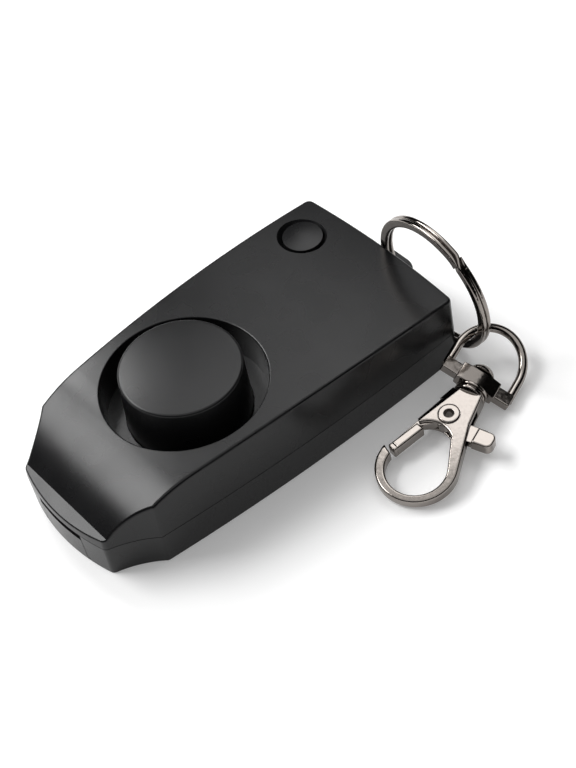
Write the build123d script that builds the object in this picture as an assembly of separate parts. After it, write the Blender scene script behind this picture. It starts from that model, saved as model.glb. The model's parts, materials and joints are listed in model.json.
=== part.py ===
# Personal safety alarm: a moulded pocket case with a large alarm button, a small off button,
# a battery door under the nose, and a split ring with a swivel clasp on the lug.
#
# Millimetres. The origin is the centre of the face that the case rests on.
# +X is across the case, +Y points to the key ring end, +Z is up. The nose is at -Y.

import math
import os

from build123d import *

# Case outline, seen from above at the parting plane
case_length = 78.1
side_half_width = 20.05
side_radius = 480.0
side_widest_setback = 10.0
nose_half_width = 11.7
nose_bow = 1.75
nose_length = 10.3
flare_hollow = 0.55
end_radius = 199.5
end_corner_round = 1.3
shoulder_round = 0.8
nose_corner_round = 1.2
upper_draft = 4.0
lower_draft = 1.5

# Case outline, seen from the side
case_height = 17.4
crown_radius = 467.0
crown_setback = 44.4
parting_height = 7.4
nose_round_length = 19.3
lip_setback = 2.5
lip_height = 9.7
lip_slope = 23.0
top_edge_round = 0.6
lip_edge_round = 0.35
seam_depth = 0.18
seam_height = 0.14
well_edge_round = 0.25
base_edge_round = 0.25

# Case walls
wall = 1.6
tongue = 0.7
tongue_height = 1.2
fit_gap = 0.08
running_gap = 0.15
contact_gap = 0.02
overrun = 5.0

# Well and alarm button
well_setback = 30.5
well_radius = 15.1
well_floor_radius = 14.8
well_wall = 1.2
well_floor_height = 10.1
well_floor = 1.2
button_height = 21.35
button_top_radius = 11.05
button_base_radius = 11.45
button_edge_round = 0.45
button_roof = 1.8
button_bore_radius = 9.95
button_dish = 0.25
button_travel = 1.5
skirt_depth = 0.15
moat_wall = 0.8
leg_half_width = 2.5
leg_inner = 10.75
leg_outer = 11.35
leg_hook = 0.85
leg_hook_height = 1.5
boss_radius = 2.2
spring_radius = 8.4
spring_wire_radius = 0.3
spring_pitch = 1.8
peg_radius = 0.5
peg_place = 5.4
peg_rise = 0.4
gusset_half_width = 2.5

# Push switches
switch_size = 6.0
switch_corner = 0.4
switch_plate = 0.3
switch_pin_width = 0.7
switch_pin = 0.35
alarm_switch_height = 3.5
alarm_plunger = 1.6
plunger_radius = 1.7
off_switch_height = 2.7
off_plunger = 0.95
switch_board_radius = 6.6
board_thickness = 1.2

# Off button
off_x = -12.3
off_setback = 8.9
off_radius = 3.8
off_height = 16.2
off_dome = 0.3
off_recess_radius = 4.84
off_recess_depth = 1.0
off_flange_radius = 4.7
off_flange_low = 12.9
off_flange_height = 0.8
off_guide_radius = 5.2
off_guide_low = 13.8

# Battery bay and door
cell_radius = 5.8
cell_height = 5.4
cell_step = 0.7
cell_cap_radius = 4.7
cell_gap = 0.15
first_cell_setback = 10.5
contact = 0.2
contact_half_width = 2.5
contact_tail = 1.2
bay_wall = 1.0
bay_height = 7.2
bay_rib_height = 4.5
bay_rib = 1.0
door_half_width = 5.8
tab_height = 5.9
rail_width = 0.5
rail_height = 0.5
rail_level = 0.5
presser_rib = 1.0

# Circuit board and what stands on it
board_half_width = 17.0
board_setback = 3.0
board_length = 26.8
board_corner = 2.5
coil_x = 6.0
coil_y = 16.2
coil_radius = 3.9
coil_height = 4.8
coil_core = 2.2
coil_flange = 0.8
capacitor_x = -4.0
capacitor_y = 14.2
capacitor_radius = 2.0
capacitor_height = 5.0
capacitor_foot = 0.5
chip_x = -3.0
chip_y = 22.2
chip_length = 5.0
chip_width = 4.0
chip_height = 1.5
chip_pin_width = 0.45
chip_pin_reach = 0.9
chip_pin_pitch = 1.27
chip_pin_shares = [-1.5, -0.5, 0.5, 1.5]
chip_pin = 0.2
transistor_x = 13.0
transistor_y = 22.2
transistor_radius = 2.3
transistor_height = 4.5
transistor_flat = 1.2
transistor_standoff = 0.8
transistor_pin = 0.5
transistor_pin_pitch = 1.27

# Siren
siren_setback = 17.3
disc_radius = 13.4
disc_thickness = 0.25
disc_level = 4.2
ceramic_radius = 9.5
ceramic_thickness = 0.2
seat_wall = 1.0
seat_ledge = 0.9
seat_rise = 0.8
retainer_width = 1.4
retainer_height = 1.95
gasket_width = 1.9
sound_slot_width = 1.6
sound_slot_inner = 3.2
sound_slot_outer = 8.6
sound_slot_count = 8
sound_hole_radius = 1.1

# Screws, bosses and posts
screw_radius = 1.0
screw_head_radius = 1.9
screw_head_low = 0.4
screw_length = 9.5
screw_boss_radius = 2.5
screw_pilot_gap = 0.05
pilot_depth = 0.8
socket_radius = 0.8
socket_depth = 0.6
nose_screw_x = 11.9
nose_screw_setback = 12.8
board_screw_x = 14.4
board_screw_setback = 27.45
post_x = 13.6
post_setback = 4.15
post_radius = 1.5
pin_radius = 0.7
pin_rise = 0.7

# Leads
lead_radius = 0.35
lead_level = 5.8
lead_over = 8.1
lead_side = 8.6
lead_spacing = 1.2
lead_drop_x = 5.6
lead_board_y = 9.75
siren_lead_x = 3.0
disc_lead_x = 11.0

# Lug for the key ring
lug_half_width = 5.0
lug_corner_round = 3.4
lug_reach = 4.5
lug_low = 6.9
lug_thickness = 2.4
eye_half_length = 3.6
eye_half_width = 1.75
eye_corner_round = 0.7
eye_rim = 1.0
lug_edge_round = 0.4

# Key ring: flat wire in two coils
ring_radius = 14.0
ring_wire_height = 1.75
ring_wire_width = 0.92
ring_coil_gap = 0.06
ring_wire_round = 0.4
ring_yaw = 2.5
ring_lean = 2.6
ring_wire_x = 1.5
ring_wall_gap = 0.35
ring_floor_gap = 0.1
ring_step_angle = 56.0
ring_step_turn = 12.0
ring_end_gap = 1.0

# Swivel ring
clasp_x = 29.3
clasp_setback = 5.4
clasp_z = 3.99
clasp_heading = -71.6
clasp_slope = 4.3
dee_roll = 23.9
dee_half_width = 6.4
dee_leg = 4.5
dee_arch = 7.9
dee_wire_radius = 0.85
dee_bar_half_width = 1.3
dee_bar_half_height = 1.0
dee_bar_half_length = 7.0
dee_edge_round = 0.25
hub_half_length = 3.9
hub_end_half_height = 1.3
hub_mid_half_height = 1.8
hub_start = -1.8
hub_end = 1.7

# Swivel stud and hook, measured along the stud from the middle of the swivel ring's bar
stud_radius = 1.05
stud_gap = 0.06
stud_head_radius = 2.5
stud_head_height = 1.9
stud_end = 4.9
collar_radius = 3.05
collar_waist_radius = 2.5
collar_start = 1.85
collar_flange = 0.6
collar_waist = 0.35
collar_round = 0.2
hook_half_thickness = 1.85
loop_low = -1.4
loop_high = 0.5
hook_edge_round = 0.42
neck_x = 3.0
neck_right = 2.8
neck_left = -3.3
bevel_width = 1.9
bevel_low = 0.6
back_bend_x = 9.5
back_bend_y = 3.35
cheek_bend_x = 6.5
cheek_bend_y = -4.5
cheek_tip_x = 11.4
cheek_tip_y = -6.2
cheek_end_x = 12.6
cheek_end_y = -5.1
throat_x = 11.4
throat_y = -2.6
throat_end_x = 12.9
throat_end_y = 1.3
loop_x = 20.6
loop_y = -1.6
loop_radius = 7.45
loop_eye_x = 21.0
loop_eye_y = -1.5
loop_eye_radius = 5.5
back_slope = 15.0
throat_slope = 20.0
tip_angle = -103.0
tip_inner_angle = -98.0
slot_half_height = 0.9
slot_start = 6.0
slot_end = 13.4
slot_reach = 9.0

# Gate lever, its rivet and its spring
pivot_x = 9.0
pivot_y = -1.0
lever_half_thickness = 0.8
hub_radius = 2.5
lever_reach = 10.0
arm_shares = [(0.74, -0.27), (1.22, -0.57), (1.29, -0.5), (1.09, -0.2)]
gate_shares = [(1.22, -0.57), (1.8, -0.765), (1.885, -0.615), (1.4, -0.42), (1.29, -0.5)]
tab_shares = [(0.92, 0.02), (0.92, 0.66), (0.99, 0.78), (1.16, 0.82), (1.24, 0.76), (1.26, 0.34), (1.12, 0.02)]
tab_pad_shares = [(0.93, 0.5), (1.265, 0.5), (1.26, 0.87), (0.94, 0.87)]
gate_bar_shares = [(1.27, -0.548), (1.82, -0.77), (1.9, -0.61), (1.334, -0.39)]
pad_half_thickness = 1.2
tab_round = 1.2
lever_edge_round = 0.35
rivet_radius = 1.35
rivet_gap = 0.05
rivet_bore = 0.95
rivet_flange_radius = 1.95
rivet_flange_height = 0.5
rivet_seat = 1.3
rivet_edge_round = 0.2
gate_spring_radius = 1.6
gate_spring_wire_radius = 0.12
gate_spring_pitch = 0.3
gate_spring_height = 0.45
gate_spring_low = 0.17
gate_spring_leg = 3.4
gate_spring_gap = 0.1
gate_cut_reach = 0.05

# Places along the case, worked out from the lengths above
end_y = case_length / 2
nose_y = -case_length / 2
nose_corner_y = nose_y + nose_bow
shoulder_y = nose_y + nose_length
side_widest_y = end_y - side_widest_setback
well_y = nose_y + well_setback
off_y = end_y - off_setback
siren_y = end_y - siren_setback
board_end_y = end_y - board_setback
board_start_y = board_end_y - board_length
board_low = parting_height
board_top = board_low + board_thickness
floor_low = well_floor_height - well_floor
moat_inner = button_bore_radius - running_gap
moat_outer = button_base_radius + running_gap
moat_low = well_floor_height - skirt_depth - button_travel - running_gap
cell_low = wall + contact + contact_gap
cell_top = cell_low + cell_height
cell_pitch = 2 * cell_radius + cell_gap
cell_places = [nose_y + first_cell_setback + step * cell_pitch for step in range(3)]
bay_start_y = cell_places[0] - cell_radius - cell_gap
bay_end_y = cell_places[2] + cell_radius + contact + 2 * cell_gap
bay_inner = cell_radius + cell_gap
bay_outer = bay_inner + bay_wall
door_end_y = (cell_places[1] + cell_places[2]) / 2
seat_inner = disc_radius + fit_gap
seat_outer = seat_inner + seat_wall
switch_board_top = well_floor_height + board_thickness
alarm_plunger_top = switch_board_top + alarm_switch_height + alarm_plunger
nose_screw_y = nose_y + nose_screw_setback
board_screw_y = end_y - board_screw_setback
post_y = end_y - post_setback
lug_mid = lug_low + lug_thickness / 2
eye_y = end_y + lug_reach - eye_rim - eye_half_width


def side_x(y):
    """Half the case width at the parting plane."""
    return side_half_width - side_radius + math.sqrt(side_radius**2 - (y - side_widest_y) ** 2)


def crown_z(y):
    """Height of the case's top over its length."""
    return case_height - crown_radius + math.sqrt(
        crown_radius**2 - (y - end_y + crown_setback) ** 2
    )


def block(x0, x1, y0, y1, z0, z1):
    """A box between two corners."""
    return Pos((x0 + x1) / 2, (y0 + y1) / 2, (z0 + z1) / 2) * Box(x1 - x0, y1 - y0, z1 - z0)


def rod(x, y, z0, z1, radius):
    """An upright cylinder."""
    return Pos(x, y, (z0 + z1) / 2) * Cylinder(radius, z1 - z0)


def tube(x, y, z0, z1, outer, inner):
    """An upright tube."""
    return rod(x, y, z0, z1, outer) - rod(x, y, z0 - overrun, z1 + overrun, inner)


def scaled(shares, length):
    """Outline points from a table of shares of a length."""
    return [(x * length, y * length) for x, y in shares]


def turned(x, y, points):
    """A solid turned about an upright axis from an outline of radius and height."""
    outline = Plane.XZ * make_face(Polyline(*points, close=True))
    return Pos(x, y, 0) * revolve(outline, Axis.Z)


def wire_along(points, radius):
    """A round lead that follows straight runs, with rounded turns."""
    path = Polyline(*points)
    start = Plane(origin=path @ 0, z_dir=path % 0)
    return sweep(start * Circle(radius), path, transition=Transition.ROUND)


def plan_face(inset):
    """The case seen from above at the parting plane, running past the key ring end."""
    far_y = end_y + overrun
    mid_y = (far_y + shoulder_y) / 2
    corner = (nose_half_width, nose_corner_y)
    shoulder = (side_x(shoulder_y), shoulder_y)
    far = (side_x(far_y), far_y)
    mid = (side_x(mid_y), mid_y)
    nose = ThreePointArc((-corner[0], corner[1]), (0, nose_y), corner)
    right_flare = SagittaArc(corner, shoulder, flare_hollow)
    right_side = ThreePointArc(shoulder, mid, far)
    end = Line(far, (-far[0], far[1]))
    left_side = ThreePointArc((-far[0], far[1]), (-mid[0], mid[1]), (-shoulder[0], shoulder[1]))
    left_flare = SagittaArc((-shoulder[0], shoulder[1]), (-corner[0], corner[1]), flare_hollow)
    outline = make_face([nose, right_flare, right_side, end, left_side, left_flare])
    if inset:
        outline = offset(outline, -inset)
    return Pos(0, 0, parting_height) * outline


def side_face(inset):
    """The case seen from the side, running past its two ends and its base."""
    far_y = end_y + 2 * overrun
    near_y = nose_y - overrun
    start_y = nose_y + nose_round_length
    crown_y = end_y - crown_setback
    lean = math.asin((start_y - crown_y) / crown_radius)
    lip_y = nose_y + lip_setback
    near_z = lip_height - (lip_y - near_y) * math.tan(math.radians(lip_slope))
    crown = ThreePointArc((far_y, crown_z(far_y)), (crown_y, case_height), (start_y, crown_z(start_y)))
    heading = (-math.cos(lean), math.sin(lean))
    nose_round = TangentArc((start_y, crown_z(start_y)), (lip_y, lip_height), tangent=heading)
    rest = Polyline(
        (lip_y, lip_height), (near_y, near_z), (near_y, 0), (far_y, 0), (far_y, crown_z(far_y))
    )
    outline = make_face([crown, nose_round, rest])
    if inset:
        outline = offset(outline, -inset, kind=Kind.INTERSECTION)
    return Plane.YZ * outline


def case_form(inset):
    """The solid outer form of the case, or the space inside its walls."""
    plan = plan_face(inset)
    upper = extrude(plan, amount=case_height, dir=(0, 0, 1), taper=upper_draft)
    lower = extrude(plan, amount=parting_height, dir=(0, 0, -1), taper=lower_draft)
    side = extrude(side_face(inset), amount=side_half_width + overrun, both=True)
    end = rod(0, end_y - end_radius, -overrun, case_height + overrun, end_radius - inset)
    return (upper & side & end) + (lower & side & end)


def is_upright(edge):
    """Whether an edge runs mostly up and down."""
    return abs((edge % 0.5).Z) > 0.6


def near(value, target, reach):
    """Whether a value lies within reach of a target."""
    return abs(value - target) < reach


def round_corners(body):
    """Round the upright corners of the case."""
    places = (
        (end_y, end_corner_round),
        (shoulder_y, shoulder_round),
        (nose_corner_y, nose_corner_round),
    )
    for place_y, radius in places:
        corners = [e for e in body.edges() if is_upright(e) and near((e @ 0.5).Y, place_y, nose_bow)]
        body = fillet(corners, radius)
    return body


def round_edges(body):
    """Round the base edge, the top edge and the lip, after the upright corners."""
    body = round_corners(body)
    base = [e for e in body.edges() if near((e @ 0.5).Z, 0, fit_gap) and near((e @ 0).Z, 0, fit_gap)]
    body = fillet(base, base_edge_round)
    level = [e for e in body.edges() if not is_upright(e)]
    upper = [e for e in level if (e @ 0.5).Z > lip_height and (e @ 0.5).Y > shoulder_y - shoulder_round]
    body = fillet(upper, top_edge_round)
    level = [e for e in body.edges() if not is_upright(e) and (e @ 0.5).Y < nose_y + nose_bow + lip_setback / 2]
    lip = [e for e in level if parting_height + fit_gap < (e @ 0.5).Z < lip_height - fit_gap]
    return fillet(lip, lip_edge_round)


outer = round_edges(case_form(0))
cavity = case_form(wall)
tongue_space = case_form(wall - tongue)
recess_space = case_form(wall - tongue - fit_gap)
above = block(-case_length, case_length, -case_length, case_length, parting_height, case_length)
below = block(-case_length, case_length, -case_length, case_length, -case_length, parting_height)
roof_under = cavity & above

# Top shell: the shell itself, the well with its moat, bosses, guide and rib
top_shell = (outer & above) - roof_under
top_shell -= recess_space & block(
    -case_length, case_length, -case_length, case_length, 0, parting_height + tongue_height + fit_gap
)
well_outer = well_radius + well_wall
top_shell += rod(0, well_y, floor_low, case_height + overrun, well_outer) & outer
for side in (-1, 1):
    inner_x = side * (well_radius + well_wall / 2)
    outer_x = side * side_half_width
    top_shell += (
        block(
            min(inner_x, outer_x),
            max(inner_x, outer_x),
            well_y - gusset_half_width,
            well_y + gusset_half_width,
            floor_low,
            case_height,
        )
        & cavity
    )
well_top = case_height + overrun
well_slope = (well_radius - well_floor_radius) / (case_height - well_floor_height)
top_shell -= turned(
    0,
    well_y,
    [
        (0, well_floor_height),
        (well_floor_radius, well_floor_height),
        (well_floor_radius + well_slope * (well_top - well_floor_height), well_top),
        (0, well_top),
    ],
)
rim = [
    e for e in top_shell.edges()
    if near(math.hypot((e @ 0.5).X, (e @ 0.5).Y - well_y), well_radius, wall / 2)
    and (e @ 0.5).Z > case_height - wall
    and near(math.hypot((e @ 0).X, (e @ 0).Y - well_y), well_radius, wall / 2)
]
top_shell = fillet(rim, well_edge_round)
top_shell += tube(0, well_y, moat_low - moat_wall, floor_low, moat_outer + moat_wall, moat_inner - moat_wall)
top_shell -= tube(0, well_y, moat_low, well_floor_height + overrun, moat_outer, moat_inner)
leg_slot = tube(
    0, well_y, 0, floor_low, leg_outer + running_gap, leg_inner - running_gap
) & block(
    -case_length,
    case_length,
    well_y - leg_half_width - running_gap,
    well_y + leg_half_width + running_gap,
    0,
    case_height,
)
top_shell -= leg_slot
for side in (-1, 1):
    top_shell += rod(0, well_y + side * peg_place, floor_low, switch_board_top + peg_rise, peg_radius)
lead_hole = rod(lead_drop_x, well_y, 0, well_floor_height + overrun, lead_radius + running_gap)
lead_hole += rod(
    lead_drop_x, well_y - lead_spacing, 0, well_floor_height + overrun, lead_radius + running_gap
)
top_shell -= lead_hole

nose_places = [(-nose_screw_x, nose_screw_y), (nose_screw_x, nose_screw_y)]
board_places = [(-board_screw_x, board_screw_y), (board_screw_x, board_screw_y)]
screw_tip = wall + screw_length
for place in nose_places:
    top_shell += rod(place[0], place[1], parting_height, case_height, screw_boss_radius) & cavity
for place in board_places:
    top_shell += rod(place[0], place[1], board_top, case_height, screw_boss_radius) & cavity
for place in nose_places + board_places:
    top_shell -= rod(place[0], place[1], 0, screw_tip + pilot_depth, screw_radius + screw_pilot_gap)

top_shell += rod(off_x, off_y, off_guide_low, case_height, off_guide_radius) & cavity
recess_low = crown_z(off_y) - off_recess_depth
top_shell -= turned(
    off_x,
    off_y,
    [
        (0, 0),
        (off_radius + running_gap, 0),
        (off_radius + running_gap, recess_low),
        (off_recess_radius, crown_z(off_y)),
        (off_recess_radius, case_height),
        (0, case_height),
    ],
)
top_shell += (
    block(
        -contact_half_width,
        contact_half_width,
        cell_places[0] - presser_rib / 2,
        cell_places[0] + presser_rib / 2,
        cell_top + 2 * contact_gap + contact,
        case_height,
    )
    & cavity
)
lug_space = block(
    -lug_half_width - running_gap,
    lug_half_width + running_gap,
    end_y - end_corner_round - wall,
    case_length,
    parting_height,
    lug_low + lug_thickness + fit_gap,
)
top_shell -= lug_space

# Bottom shell: floor, tongue, battery bay, siren seat, bosses, posts and the lug
lower_form = outer & below
seam = block(
    -case_length, case_length, -case_length, case_length, parting_height - seam_height, parting_height
)
seam -= round_corners(case_form(seam_depth) & seam)
bottom_shell = lower_form - (cavity & below) - seam
bottom_shell += (tongue_space - cavity) & block(
    -case_length, case_length, -case_length, case_length, wall, parting_height + tongue_height
)
bottom_shell -= block(
    -nose_half_width, nose_half_width, nose_y - overrun, nose_y + nose_bow + wall,
    parting_height, case_height
)
bay = block(-bay_outer, bay_outer, bay_start_y - bay_wall, bay_end_y + bay_wall, wall - fit_gap, bay_height)
bay -= block(-bay_inner, bay_inner, bay_start_y, bay_end_y, 0, case_height)
bay -= block(
    -bay_inner, bay_inner, bay_start_y - 2 * bay_wall, bay_start_y + fit_gap, 0, cell_low + running_gap
)
bottom_shell += bay
for rib_y in (cell_places[0], cell_places[1], cell_places[2]):
    for side in (-1, 1):
        ends = (side * (bay_outer - fit_gap), side * side_half_width)
        rib = block(
            min(ends), max(ends), rib_y - bay_rib / 2, rib_y + bay_rib / 2, wall - fit_gap, bay_rib_height
        )
        bottom_shell += rib & outer & block(
            -side_x(rib_y) + wall / 2,
            side_x(rib_y) - wall / 2,
            rib_y - bay_rib,
            rib_y + bay_rib,
            0,
            case_height,
        )
seat = rod(0, siren_y, wall - fit_gap, disc_level + seat_rise, seat_outer)
seat -= rod(0, siren_y, disc_level, case_height, seat_inner)
seat -= rod(0, siren_y, 0, case_height, seat_inner - seat_ledge)
bottom_shell += seat
for step in range(sound_slot_count):
    slot = block(
        sound_slot_inner, sound_slot_outer, -sound_slot_width / 2, sound_slot_width / 2, -overrun, 2 * wall
    )
    bottom_shell -= Pos(0, siren_y, 0) * Rot(0, 0, 360 * step / sound_slot_count) * slot
bottom_shell -= rod(0, siren_y, -overrun, 2 * wall, sound_hole_radius)

for place in nose_places + board_places:
    bottom_shell += rod(place[0], place[1], wall - fit_gap, parting_height, screw_boss_radius)
for place in nose_places + board_places:
    bottom_shell -= rod(place[0], place[1], -overrun, case_height, screw_radius + running_gap)
    bottom_shell -= rod(place[0], place[1], -overrun, wall, screw_head_radius + running_gap)
for side in (-1, 1):
    bottom_shell += rod(side * post_x, post_y, wall - fit_gap, board_low, post_radius)
    bottom_shell += rod(side * post_x, post_y, board_low - fit_gap, board_top + pin_rise, pin_radius)

lug_root_y = end_y - end_corner_round - wall / 2
lug_end_y = end_y + lug_reach
lug = block(-lug_half_width, lug_half_width, lug_root_y, lug_end_y, lug_low, lug_low + lug_thickness)
lug = fillet([e for e in lug.edges() if is_upright(e) and (e @ 0.5).Y > end_y], lug_corner_round)
lug = fillet([e for e in lug.edges() if not is_upright(e) and (e @ 0.5).Y > end_y], lug_edge_round)
eye_face = RectangleRounded(2 * eye_half_length, 2 * eye_half_width, eye_corner_round)
lug -= Pos(0, eye_y, lug_low - overrun) * extrude(eye_face, amount=2 * overrun + lug_thickness)
bottom_shell += lug

# Battery door: a sliding strip with two rails and the tab that fills the nose
door_gap = running_gap
door_space = block(
    -door_half_width - door_gap, door_half_width + door_gap, -case_length, door_end_y + door_gap, -overrun, wall
)
door_space += block(
    -door_half_width - door_gap,
    door_half_width + door_gap,
    -case_length,
    bay_start_y - bay_wall,
    -overrun,
    parting_height + overrun,
)
door_space += block(
    -door_half_width - rail_width - door_gap,
    door_half_width + rail_width + door_gap,
    -case_length,
    door_end_y + door_gap,
    rail_level - door_gap,
    rail_level + rail_height + door_gap,
)
bottom_shell -= door_space
battery_door = outer & block(
    -door_half_width, door_half_width, -case_length, door_end_y, -overrun, wall
)
battery_door += (outer - cavity) & block(
    -door_half_width, door_half_width, -case_length, shoulder_y - nose_length / 2, -overrun, tab_height
)
battery_door += outer & block(
    -door_half_width - rail_width,
    door_half_width + rail_width,
    -case_length,
    door_end_y,
    rail_level,
    rail_level + rail_height,
)

# Alarm button: a cup with a skirt, two snap legs, and a boss over its switch
skirt_low = well_floor_height - skirt_depth
button_slope = (button_base_radius - button_top_radius) / (button_height - well_floor_height)
roof_low = button_height - button_roof
boss_low = alarm_plunger_top + button_travel + fit_gap
rim = (button_top_radius, button_height)
cup_profile = make_face(
    [
        Polyline(
            (0, button_height - button_dish),
            (0, boss_low),
            (boss_radius, boss_low),
            (boss_radius, roof_low),
            (button_bore_radius, roof_low),
            (button_bore_radius, skirt_low),
            (button_base_radius + button_slope * skirt_depth, skirt_low),
            rim,
        ),
        TangentArc(
            (0, button_height - button_dish), rim, tangent=(1, 0)
        ),
    ]
)
cup = revolve(Plane.XZ * cup_profile, Axis.Z)
cup = fillet(
    [e for e in cup.edges() if near((e @ 0).Z, button_height, fit_gap) and e.length > boss_radius],
    button_edge_round,
)
hook_top = moat_low - moat_wall - fit_gap
leg_low = hook_top - leg_hook_height
legs = tube(0, 0, leg_low, skirt_low + leg_hook_height, leg_outer, leg_inner)
legs += turned(
    0,
    0,
    [
        (leg_inner, leg_low),
        (leg_outer, leg_low),
        (leg_outer + leg_hook, hook_top - leg_hook),
        (leg_outer + leg_hook, hook_top),
        (leg_inner, hook_top),
    ],
)
legs &= block(-case_length, case_length, -leg_half_width, leg_half_width, 0, case_height)
alarm_button = Pos(0, well_y, 0) * (cup + legs)

spring_low = well_floor_height + spring_wire_radius + contact_gap
spring_high = roof_low - spring_wire_radius - contact_gap


def coil_spring(wire_radius, radius, height, pitch):
    """A plain coil spring that stands on the origin."""
    path = Helix(pitch, height, radius)
    start = Plane(origin=path @ 0, z_dir=path % 0)
    return sweep(start * Circle(wire_radius), path, is_frenet=True)


alarm_button_spring = Pos(0, well_y, spring_low) * coil_spring(
    spring_wire_radius, spring_radius, spring_high - spring_low, spring_pitch
)


def push_switch(x, y, low, height, plunger):
    """A square push switch with its plate, plunger and four pins."""
    half = switch_size / 2
    body = Pos(x, y, low + height / 2) * Box(switch_size, switch_size, height)
    body = chamfer(body.edges().filter_by(Axis.Z), switch_corner)
    reach = half + switch_pin
    body += block(
        x - half + switch_corner,
        x + half - switch_corner,
        y - half + switch_corner,
        y + half - switch_corner,
        low + height - fit_gap,
        low + height + switch_plate,
    )
    body += rod(x, y, low + height, low + height + plunger, plunger_radius)
    for side in (-1, 1):
        pin_y = y + side * half / 2
        body += block(
            x - reach,
            x + reach,
            pin_y - switch_pin_width / 2,
            pin_y + switch_pin_width / 2,
            low,
            low + switch_pin,
        )
    return body


alarm_switch_board = rod(0, well_y, well_floor_height, switch_board_top, switch_board_radius)
for side in (-1, 1):
    alarm_switch_board -= rod(
        0, well_y + side * peg_place, 0, case_height, peg_radius + contact_gap
    )
alarm_switch_board -= lead_hole
alarm_switch = push_switch(0, well_y, switch_board_top, alarm_switch_height, alarm_plunger)

# Off button and its switch
off_flange_top = off_flange_low + off_flange_height
off_profile = make_face(
    [
        Polyline(
            (0, off_height),
            (0, off_flange_low),
            (off_flange_radius, off_flange_low),
            (off_flange_radius, off_flange_top),
            (off_radius, off_flange_top),
            (off_radius, off_height - off_dome),
        ),
        TangentArc((0, off_height), (off_radius, off_height - off_dome), tangent=(1, 0)),
    ]
)
off_button = Pos(off_x, off_y, 0) * revolve(Plane.XZ * off_profile, Axis.Z)
off_switch = push_switch(off_x, off_y, board_top, off_switch_height, off_plunger)

# Circuit board and what stands on it
circuit_board = block(
    -board_half_width, board_half_width, board_start_y, board_end_y, board_low, board_top
)
circuit_board = chamfer(circuit_board.edges().filter_by(Axis.Z), board_corner)
for place in board_places:
    circuit_board -= rod(place[0], place[1], 0, case_height, screw_radius + running_gap)
for side in (-1, 1):
    circuit_board -= rod(side * post_x, post_y, 0, case_height, pin_radius + contact_gap)

step_up_coil = tube(coil_x, coil_y, board_top, board_top + coil_height, coil_radius, coil_core)
step_up_coil -= tube(
    coil_x,
    coil_y,
    board_top + coil_flange,
    board_top + coil_height - coil_flange,
    coil_radius + overrun,
    coil_core + coil_flange,
)
step_up_coil += rod(coil_x, coil_y, board_top, board_top + coil_height - coil_flange / 2, coil_core)
step_up_coil += tube(
    coil_x,
    coil_y,
    board_top + coil_flange,
    board_top + coil_height - coil_flange,
    coil_radius - coil_flange / 2,
    coil_core,
)
storage_capacitor = rod(
    capacitor_x, capacitor_y, board_top + capacitor_foot, board_top + capacitor_height, capacitor_radius
)
storage_capacitor = fillet(storage_capacitor.edges().sort_by(Axis.Z)[-1], capacitor_foot / 2)
storage_capacitor += rod(
    capacitor_x, capacitor_y, board_top, board_top + capacitor_foot, capacitor_radius - capacitor_foot / 2
)
control_chip = block(
    chip_x - chip_length / 2,
    chip_x + chip_length / 2,
    chip_y - chip_width / 2,
    chip_y + chip_width / 2,
    board_top + chip_pin,
    board_top + chip_height,
)
for share in chip_pin_shares:
    pin_x = chip_x + share * chip_pin_pitch
    control_chip += block(
        pin_x - chip_pin_width / 2,
        pin_x + chip_pin_width / 2,
        chip_y - chip_width / 2 - chip_pin_reach,
        chip_y + chip_width / 2 + chip_pin_reach,
        board_top,
        board_top + 2 * chip_pin,
    )
driver_transistor = rod(
    transistor_x,
    transistor_y,
    board_top + transistor_standoff,
    board_top + transistor_height,
    transistor_radius,
)
driver_transistor -= block(
    transistor_x - transistor_radius,
    transistor_x + transistor_radius,
    transistor_y - 2 * transistor_radius,
    transistor_y - transistor_flat,
    board_top,
    case_height,
)
for step in (-1, 0, 1):
    pin_x = transistor_x + step * transistor_pin_pitch
    driver_transistor += block(
        pin_x - transistor_pin / 2,
        pin_x + transistor_pin / 2,
        transistor_y - transistor_pin / 2,
        transistor_y + transistor_pin / 2,
        board_top,
        board_top + 2 * transistor_standoff,
    )

# Siren
disc_top = disc_level + disc_thickness
ceramic_top = disc_top + ceramic_thickness
siren_disc = rod(0, siren_y, disc_level, disc_top, disc_radius)
siren_ceramic = rod(0, siren_y, disc_top, ceramic_top, ceramic_radius)
siren_retainer = tube(
    0, siren_y, disc_top, disc_top + retainer_height, disc_radius, disc_radius - retainer_width
)
siren_gasket = tube(
    0, siren_y, disc_top + retainer_height, board_low, disc_radius, disc_radius - gasket_width
)

# Button cells, turned over in turn, and their contacts
cells = []
for step, place_y in enumerate(cell_places):
    cell = rod(0, 0, 0, cell_height - cell_step, cell_radius)
    cell = fillet(cell.edges().filter_by(GeomType.CIRCLE), cell_step / 2)
    cell += rod(0, 0, 0, cell_height, cell_cap_radius)
    if step % 2:
        cell = Pos(0, 0, cell_height) * Rot(180, 0, 0) * cell
    cells.append(Pos(0, place_y, cell_low) * cell)
cell_front, cell_middle, cell_rear = cells

contact_low = cell_top + contact_gap
contact_top = contact_low + contact
front_contact = block(
    -lead_side,
    cell_cap_radius,
    cell_places[0] - contact_half_width,
    cell_places[0] + contact_half_width,
    contact_low,
    contact_top,
)
front_contact -= block(
    -lead_side - overrun,
    -bay_outer - fit_gap,
    cell_places[0] - contact_half_width,
    cell_places[0] - contact_tail / 2,
    0,
    case_height,
)
front_contact -= block(
    -lead_side - overrun,
    -bay_outer - fit_gap,
    cell_places[0] + contact_tail / 2,
    cell_places[0] + contact_half_width,
    0,
    case_height,
)
top_bridge_contact = block(
    -contact_half_width,
    contact_half_width,
    cell_places[1] - contact_half_width,
    cell_places[2] + contact_half_width,
    contact_low,
    contact_top,
)
door_bridge_contact = block(
    -contact_half_width,
    contact_half_width,
    cell_places[0] - contact_half_width,
    cell_places[1] + contact_half_width,
    wall,
    wall + contact,
)
rear_wall_y = bay_end_y - contact_gap
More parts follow.
